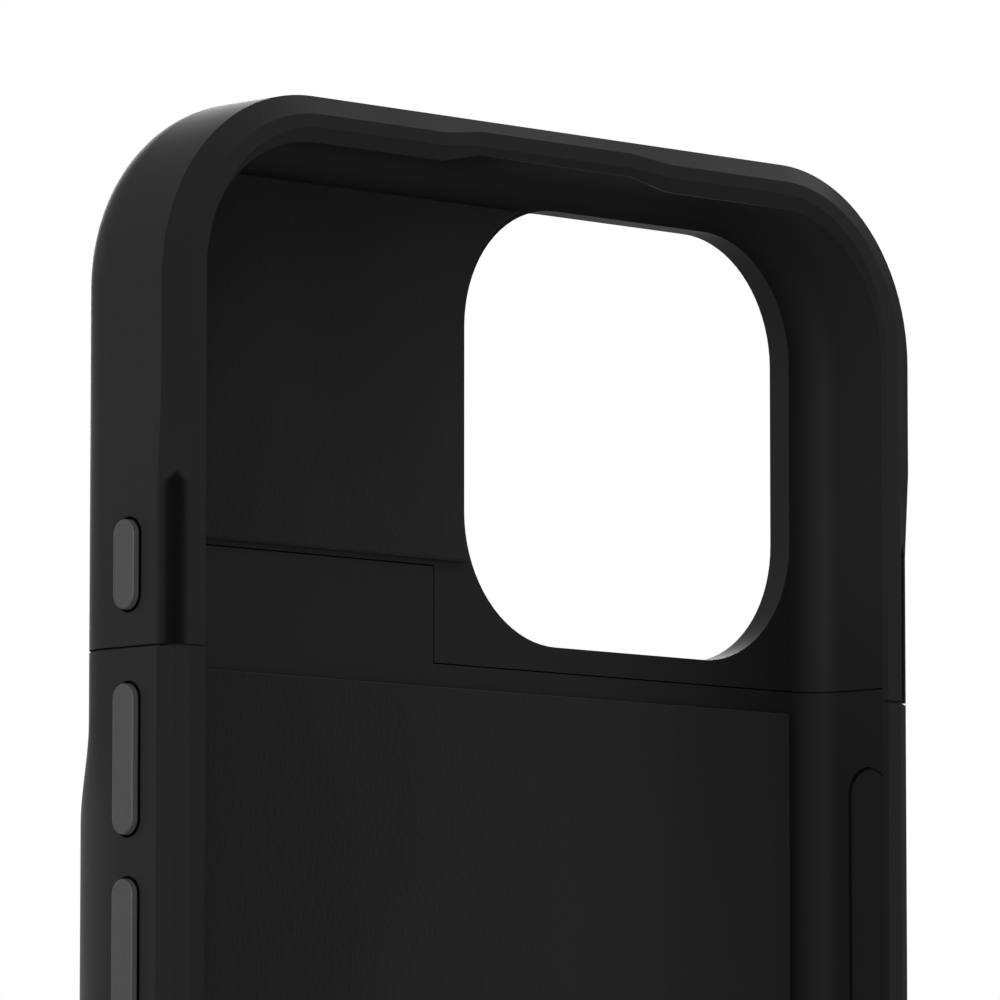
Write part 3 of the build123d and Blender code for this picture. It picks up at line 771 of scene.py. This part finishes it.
class CASE_OT_mould_shells(Operator):
    """Mould the two halves and the back cover in matt black plastic"""

    bl_idname = "charging_case.mould_shells"
    bl_label = "Mould Shells"

    def execute(self, context):
        look = context.scene.case_moulding
        plastic = moulded_plastic(
            "shell_plastic",
            look.shell_colour,
            look.shell_roughness,
            look.shell_gloss,
            look.grain_size,
            look.grain_height,
            look.shell_dulling,
        )
        stand_for("lower_shell", "lower_shell_moulding", plastic)
        # The weld closes a hairline between the cap's lip and its side walls
        stand_for("top_cap", "top_cap_moulding", plastic, weld=HAIRLINE)
        stand_for(
            "back_panel",
            "back_panel_moulding",
            plastic,
            look.edge_width,
            look.edge_segments,
        )
        return {"FINISHED"}


class CASE_OT_mould_buttons(Operator):
    """Mould the side buttons and the battery check button"""

    bl_idname = "charging_case.mould_buttons"
    bl_label = "Mould Buttons"

    def execute(self, context):
        look = context.scene.case_moulding
        side_reach = -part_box("action_button")[0][0]
        back_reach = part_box("status_button")[1][1]
        plastic = button_plastic(look, side_reach, back_reach)
        for key in ("action", "volume_up", "volume_down", "side", "status"):
            stand_for(
                f"{key}_button",
                f"{key}_key_cap",
                plastic,
                look.edge_width / 2,
                look.edge_segments,
            )
        return {"FINISHED"}


class CASE_OT_lay_linings(Operator):
    """Lay the soft linings behind the pocket"""

    bl_idname = "charging_case.lay_linings"
    bl_label = "Lay Linings"

    def execute(self, context):
        look = context.scene.case_lining
        nap = nap_cloth("lining_cloth", look.cloth_colour, look.nap_size)
        for node_name, carrier in (("pocket_lining", "lower_shell"), ("cap_lining", "top_cap")):
            cloth = stand_for(
                node_name, f"{node_name}_cloth", nap, look.cloth_edge, segments=3
            )
            size = box_size(node_name)
            self.volume(cloth) / size.y
        return {"FINISHED"}

    def volume(self, cloth):
        """Volume of a lining before its edges are rounded."""
        bm = bmesh.new()
        bm.from_mesh(cloth.data)
        volume = bm.calc_volume()
        bm.free()
        return volume


class CASE_OT_fit_connectors(Operator):
    """Fit the plug, the charging socket, their contacts and the ribbon"""

    bl_idname = "charging_case.fit_connectors"
    bl_label = "Fit Connectors"

    def execute(self, context):
        look = context.scene.case_connectors
        metal = worked_metal(
            "connector_metal",
            look.metal_colour,
            roughness=0.3,
            line_size=0.15 * MM,
            stretch=(1, 1, 0.05),
        )
        insert = moulded_plastic(
            "connector_plastic",
            look.insert_colour,
            roughness=0.4,
            gloss=0.3,
            grain_size=0.1 * MM,
            grain_height=0.004 * MM,
        )
        gold = worked_metal(
            "contact_gold",
            look.contact_colour,
            roughness=0.25,
            line_size=0.2 * MM,
            stretch=(1, 1, 0.1),
        )
        film = amber_film("flex_film", look.film_colour, look.contact_pitch)
        for node_name in ("plug_shell", "socket_shell"):
            stand_for(
                node_name,
                f"{node_name}_metal",
                metal,
                look.metal_edge,
                segments=3,
            )
        for node_name in ("plug_collar", "plug_core", "socket_tongue"):
            stand_for(
                node_name, f"{node_name}_insert", insert, look.insert_edge
            )
        stand_for("plug_flex", "plug_ribbon", film, FOIL_EDGE)
        self.add_contacts(look, gold)
        return {"FINISHED"}

    def add_contacts(self, look, gold):
        """Two rows of sprung contacts in the plug's mouth and of pads on the socket's tongue."""
        row = {
            "width": look.contact_width,
            "thickness": look.contact_thickness,
            "row_count": look.contact_count,
            "row_step": (look.contact_pitch, 0, 0),
            "sides": 2,
            "axis": (0, 0, 1),
            "copies": 1,
        }
        first = -look.contact_pitch * (look.contact_count - 1) / 2
        plug_middle = box_middle("plug_core")
        mouth_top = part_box("plug_core")[1][2]
        metal_leaves(
            "plug_contacts",
            gold,
            "connector_metal",
            "plug_core",
            start=(first, -look.spring_spread, -look.spring_root),
            bend=(first, -look.spring_gap, -look.spring_bow),
            end=(first, -look.spring_spread, -look.spring_tip),
            centre=(plug_middle.x, plug_middle.y, mouth_top),
            **row,
        )
        socket_middle = box_middle("socket_tongue")
        tongue_low, tongue_face = self.tongue_tip()
        lift = -(tongue_face + look.contact_thickness / 4)
        metal_leaves(
            "socket_contacts",
            gold,
            "connector_metal",
            "socket_tongue",
            start=(first, lift, look.pad_start),
            bend=(first, lift, look.pad_start + look.pad_length / 2),
            end=(first, lift, look.pad_start + look.pad_length),
            centre=(socket_middle.x, socket_middle.y, tongue_low),
            **row,
        )

    def tongue_tip(self):
        """Height of the tongue's tip and half its thickness there."""
        corners = [vertex.co for vertex in frame["nodes"]["socket_tongue"].data.vertices]
        low = min(corner.z for corner in corners)
        tip = [corner.y for corner in corners if corner.z < low + MERGE_DISTANCE]
        return low, (max(tip) - min(tip)) / 2


class CASE_OT_fill_board(Operator):
    """Fill the circuit board with its parts, leads and screws"""

    bl_idname = "charging_case.fill_board"
    bl_label = "Fill Board"

    def execute(self, context):
        look = context.scene.case_board
        solder = worked_metal(
            "solder_tin", look.solder_colour, roughness=0.3, line_size=0.2 * MM
        )
        steel = worked_metal(
            "screw_steel",
            look.steel_colour,
            roughness=0.35,
            line_size=0.3 * MM,
            stretch=(1, 0.2, 1),
        )
        cover = worked_metal(
            "switch_cover",
            look.steel_colour,
            roughness=0.3,
            line_size=0.3 * MM,
            stretch=(0.1, 1, 1),
        )
        board = masked_board("board_laminate", look.mask_colour, look.track_colour)
        resin = moulded_plastic(
            "chip_package",
            look.chip_colour,
            roughness=0.55,
            gloss=0.3,
            grain_size=0.15 * MM,
            grain_height=0.01 * MM,
        )
        ferrite = moulded_plastic(
            "coil_body",
            look.coil_colour,
            roughness=0.5,
            gloss=0.4,
            grain_size=0.25 * MM,
            grain_height=0.02 * MM,
        )
        ceramic = fired_gloss("capacitor_ceramic", look.ceramic_colour, mottle_size=0.5 * MM)
        edge = look.part_edge
        stand_for("circuit_board", "charger_board", board, edge / 2)
        stand_for("control_chips", "charger_chips", resin, edge)
        stand_for("power_coil", "power_coil_body", ferrite, 2 * edge, segments=3)
        stand_for("capacitors", "capacitor_bodies", ceramic, edge / 2)
        stand_for("status_switch", "check_switch", cover, edge)
        self.add_leads(look, solder)
        self.add_end_caps(look, solder)
        self.add_screws(look, steel)
        return {"FINISHED"}

    def add_leads(self, look, solder):
        """Leads round the chips."""
        chip_low, chip_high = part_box("control_chips")
        chip_side = chip_high[2] - chip_low[2]
        chip_gap = chip_high[0] - chip_low[0] - chip_side
        board_face = chip_low[1]
        first = -look.lead_pitch * (look.lead_count - 1) / 2
        lead_root = chip_side / 2 - look.lead_thickness
        lead_end = chip_side / 2 + look.lead_reach
        metal_leaves(
            "chip_leads",
            solder,
            "tab_nickel",
            "control_chips",
            start=(first, look.lead_height, lead_root),
            bend=(first, look.lead_height, lead_end),
            end=(first, look.lead_thickness / 2, lead_end),
            width=look.lead_width,
            thickness=look.lead_thickness,
            row_count=look.lead_count,
            row_step=(look.lead_pitch, 0, 0),
            sides=4,
            axis=(0, 1, 0),
            copies=2,
            centre=(chip_low[0] + chip_side / 2, board_face, box_middle("control_chips").z),
            copy_step=(chip_gap, 0, 0),
        )

    def add_end_caps(self, look, solder):
        """Tinned ends on the capacitors, one piece for each row of them."""
        low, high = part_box("capacitors")
        columns = look.capacitor_columns
        span = high[0] - low[0]
        step = (span - look.capacitor_length) / (columns - 1)
        thickness = high[1] - low[1] + 2 * look.end_cap_rise
        width = look.capacitor_width + 2 * look.end_cap_rise
        outer = look.capacitor_length / 2 + look.end_cap_rise
        inner = outer - look.end_cap_length
        middle = (inner + outer) / 2
        for row, height in (
            ("low", low[2] + look.capacitor_width / 2),
            ("high", high[2] - look.capacitor_width / 2),
        ):
            metal_leaves(
                f"capacitor_ends_{row}",
                solder,
                "tab_nickel",
                "capacitors",
                start=(inner, 0, 0),
                bend=(middle, 0, 0),
                end=(outer, 0, 0),
                width=width,
                thickness=thickness,
                row_count=1,
                row_step=(0, 0, 0),
                sides=2,
                axis=(0, 1, 0),
                copies=columns,
                centre=(low[0] + look.capacitor_length / 2, (low[1] + high[1]) / 2, height),
                copy_step=(step, 0, 0),
            )

    def add_screws(self, look, steel):
        """Small screws with a cross recess in each head."""
        screws = merged_copy("board_screws", "board_screw_heads")
        low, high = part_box("board_screws")
        head = high[2] - low[2]
        depth = 2 * look.recess_depth
        run_tree(
            screws,
            recess_tree(),
            material=steel,
            long_arm=(look.recess_length, depth, look.recess_width),
            tall_arm=(look.recess_width, depth, look.recess_length),
            centre=(low[0] + head / 2, high[1], box_middle("board_screws").z),
            step=(high[0] - low[0] - head, 0, 0),
            count=2,
        )
        set_finish(screws, steel, "board_screws")
        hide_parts("board_screws")


class CASE_OT_fit_lights(Operator):
    """Fit the charge lights and the frosted pipes that show them"""

    bl_idname = "charging_case.fit_lights"
    bl_label = "Fit Lights"

    def execute(self, context):
        look = context.scene.case_board
        resin = fired_gloss("led_resin", look.resin_colour, mottle_size=0.6 * MM)
        milky = frosted_plastic("light_pipe_clear", look.pipe_colour, look.pipe_clarity)
        stand_for("status_leds", "charge_lights", resin, look.part_edge)
        stand_for("light_pipes", "charge_light_pipes", milky, look.part_edge)
        return {"FINISHED"}


class CASE_OT_place_cell(Operator):
    """Place the pouch cell, its adhesive film and its tabs"""

    bl_idname = "charging_case.place_cell"
    bl_label = "Place Cell"

    def execute(self, context):
        look = context.scene.case_cell
        foil = pouch_foil("cell_foil", look.foil_colour)
        adhesive = fired_gloss("adhesive_film", look.adhesive_colour, mottle_size=4 * MM)
        nickel = worked_metal(
            "tab_nickel",
            look.tab_colour,
            roughness=0.35,
            line_size=0.3 * MM,
            stretch=(1, 1, 0.1),
        )
        stand_for("battery_cell", "pouch_cell", foil, look.pouch_edge, segments=3)
        stand_for("cell_tape", "cell_adhesive", adhesive, FOIL_EDGE)
        stand_for("cell_tabs", "cell_tab_strips", nickel, FOIL_EDGE)
        return {"FINISHED"}


class CASE_OT_set_stage(Operator):
    """Set the floor, the soft light, the white surround and the camera"""

    bl_idname = "charging_case.set_stage"
    bl_label = "Set Stage"

    def execute(self, context):
        stage = context.scene.case_stage
        context.scene.view_settings.view_transform = "Standard"
        self.lay_floor(stage)
        self.light_world(context, stage)
        self.hang_lights(context)
        self.place_camera(context, stage)
        return {"FINISHED"}

    def lay_floor(self, stage):
        """Wide pale floor under the case, seen to fade into the white surround."""
        half = stage.floor_half
        mesh = bpy.data.meshes.new("floor")
        corners = [(-half, -half, 0), (half, -half, 0), (half, half, 0), (-half, half, 0)]
        mesh.from_pydata(corners, [], [(0, 1, 2, 3)])
        paper = FinishSketch("floor_paper")
        reach = paper.add("ShaderNodeVectorMath", links={0: paper.place}, operation="LENGTH")
        fade = paper.add(
            "ShaderNodeMapRange",
            {"From Min": stage.floor_near, "From Max": stage.floor_far},
            {"Value": reach.outputs["Value"]},
            interpolation_type="SMOOTHSTEP",
        )
        seen = paper.add("ShaderNodeLightPath").outputs["Is Camera Ray"]
        share = paper.compute("MULTIPLY", fade.outputs["Result"], seen)
        fibres = paper.noise(2 * MM, detail=3.0)
        matt = paper.add(
            "ShaderNodeBsdfPrincipled",
            {
                "Base Color": opaque(stage.floor_colour),
                "Roughness": 0.9,
                "Specular IOR Level": 0.05,
            },
            {"Normal": paper.bump(fibres, height=0.02 * MM, strength=0.1)},
        )
        white = paper.add("ShaderNodeEmission", {"Color": WHITE, "Strength": 1.0})
        mix = paper.add(
            "ShaderNodeMixShader", links={0: share, 1: matt.outputs[0], 2: white.outputs[0]}
        )
        paper.add("ShaderNodeOutputMaterial", links={"Surface": mix.outputs[0]})
        mesh.materials.append(paper.material)
        link_piece("floor", mesh)

    def light_world(self, context, stage):
        """Soft light all round that shows as white to the eye and in what is shiny or clear."""
        world = bpy.data.worlds.new("studio")
        context.scene.world = world
        world.use_nodes = True
        sketch = NodeSketch(world.node_tree)
        path = sketch.add("ShaderNodeLightPath").outputs
        seen = sketch.compute("MAXIMUM", path["Is Camera Ray"], path["Is Glossy Ray"])
        shown = sketch.compute("MAXIMUM", seen, path["Is Transmission Ray"])
        soft, white = (
            sketch.add("ShaderNodeBackground", {"Color": WHITE, "Strength": strength})
            for strength in (stage.surround, 1.0)
        )
        mix = sketch.add(
            "ShaderNodeMixShader", links={0: shown, 1: soft.outputs[0], 2: white.outputs[0]}
        )
        sketch.add("ShaderNodeOutputWorld", links={"Surface": mix.outputs[0]})

    def hang_lights(self, context):
        """Soft boxes on the left, above on the right, weakly in front, and behind on the right."""
        for name, place, size, power in SOFT_BOXES:
            lamp = bpy.data.lights.new(name, "AREA")
            lamp.shape = "SQUARE"
            lamp.size = size
            lamp.energy = power
            box = bpy.data.objects.new(name, lamp)
            box.location = place
            box.visible_camera = False
            box.rotation_euler = (LIGHT_AIM - Vector(place)).to_track_quat("-Z", "Y").to_euler()
            context.scene.collection.objects.link(box)

    def place_camera(self, context, stage):
        """Camera at the fitted place, looking along its heading and up by its pitch."""
        data = bpy.data.cameras.new("camera")
        data.sensor_width = SENSOR_WIDTH
        data.lens = stage.camera_lens
        data.clip_start = CLIP_START
        data.clip_end = CLIP_END
        camera = bpy.data.objects.new("camera", data)
        camera.location = stage.camera_place
        camera.rotation_euler = (math.pi / 2 + stage.camera_pitch, 0, -stage.camera_heading)
        context.scene.collection.objects.link(camera)
        context.scene.camera = camera


class CASE_PT_panel(Panel):
    """Lists the steps that dress the case."""

    bl_idname = "CASE_PT_panel"
    bl_label = "Charging Case"
    bl_space_type = "VIEW_3D"
    bl_region_type = "UI"
    bl_category = "Charging Case"

    def draw(self, context):
        for step in STEPS:
            self.layout.operator(step.bl_idname)


SETTINGS = {
    "case_moulding": MouldingFinish,
    "case_lining": LiningFinish,
    "case_connectors": ConnectorFinish,
    "case_board": BoardFinish,
    "case_cell": CellFinish,
    "case_stage": StageSetup,
}
STEPS = (
    CASE_OT_mould_shells,
    CASE_OT_mould_buttons,
    CASE_OT_lay_linings,
    CASE_OT_fit_connectors,
    CASE_OT_fill_board,
    CASE_OT_fit_lights,
    CASE_OT_place_cell,
    CASE_OT_set_stage,
)
CLASSES = (*SETTINGS.values(), *STEPS, CASE_PT_panel)


def register():
    for cls in CLASSES:
        bpy.utils.register_class(cls)
    for name, group in SETTINGS.items():
        setattr(bpy.types.Scene, name, PointerProperty(type=group))


def unregister():
    for name in SETTINGS:
        delattr(bpy.types.Scene, name)
    for cls in reversed(CLASSES):
        bpy.utils.unregister_class(cls)


def main():
    register()
    bpy.ops.charging_case.mould_shells()
    bpy.ops.charging_case.mould_buttons()
    bpy.ops.charging_case.lay_linings()
    bpy.ops.charging_case.fit_connectors()
    bpy.ops.charging_case.fill_board()
    bpy.ops.charging_case.fit_lights()
    bpy.ops.charging_case.place_cell()
    bpy.ops.charging_case.set_stage()


if __name__ == "__main__":
    main()
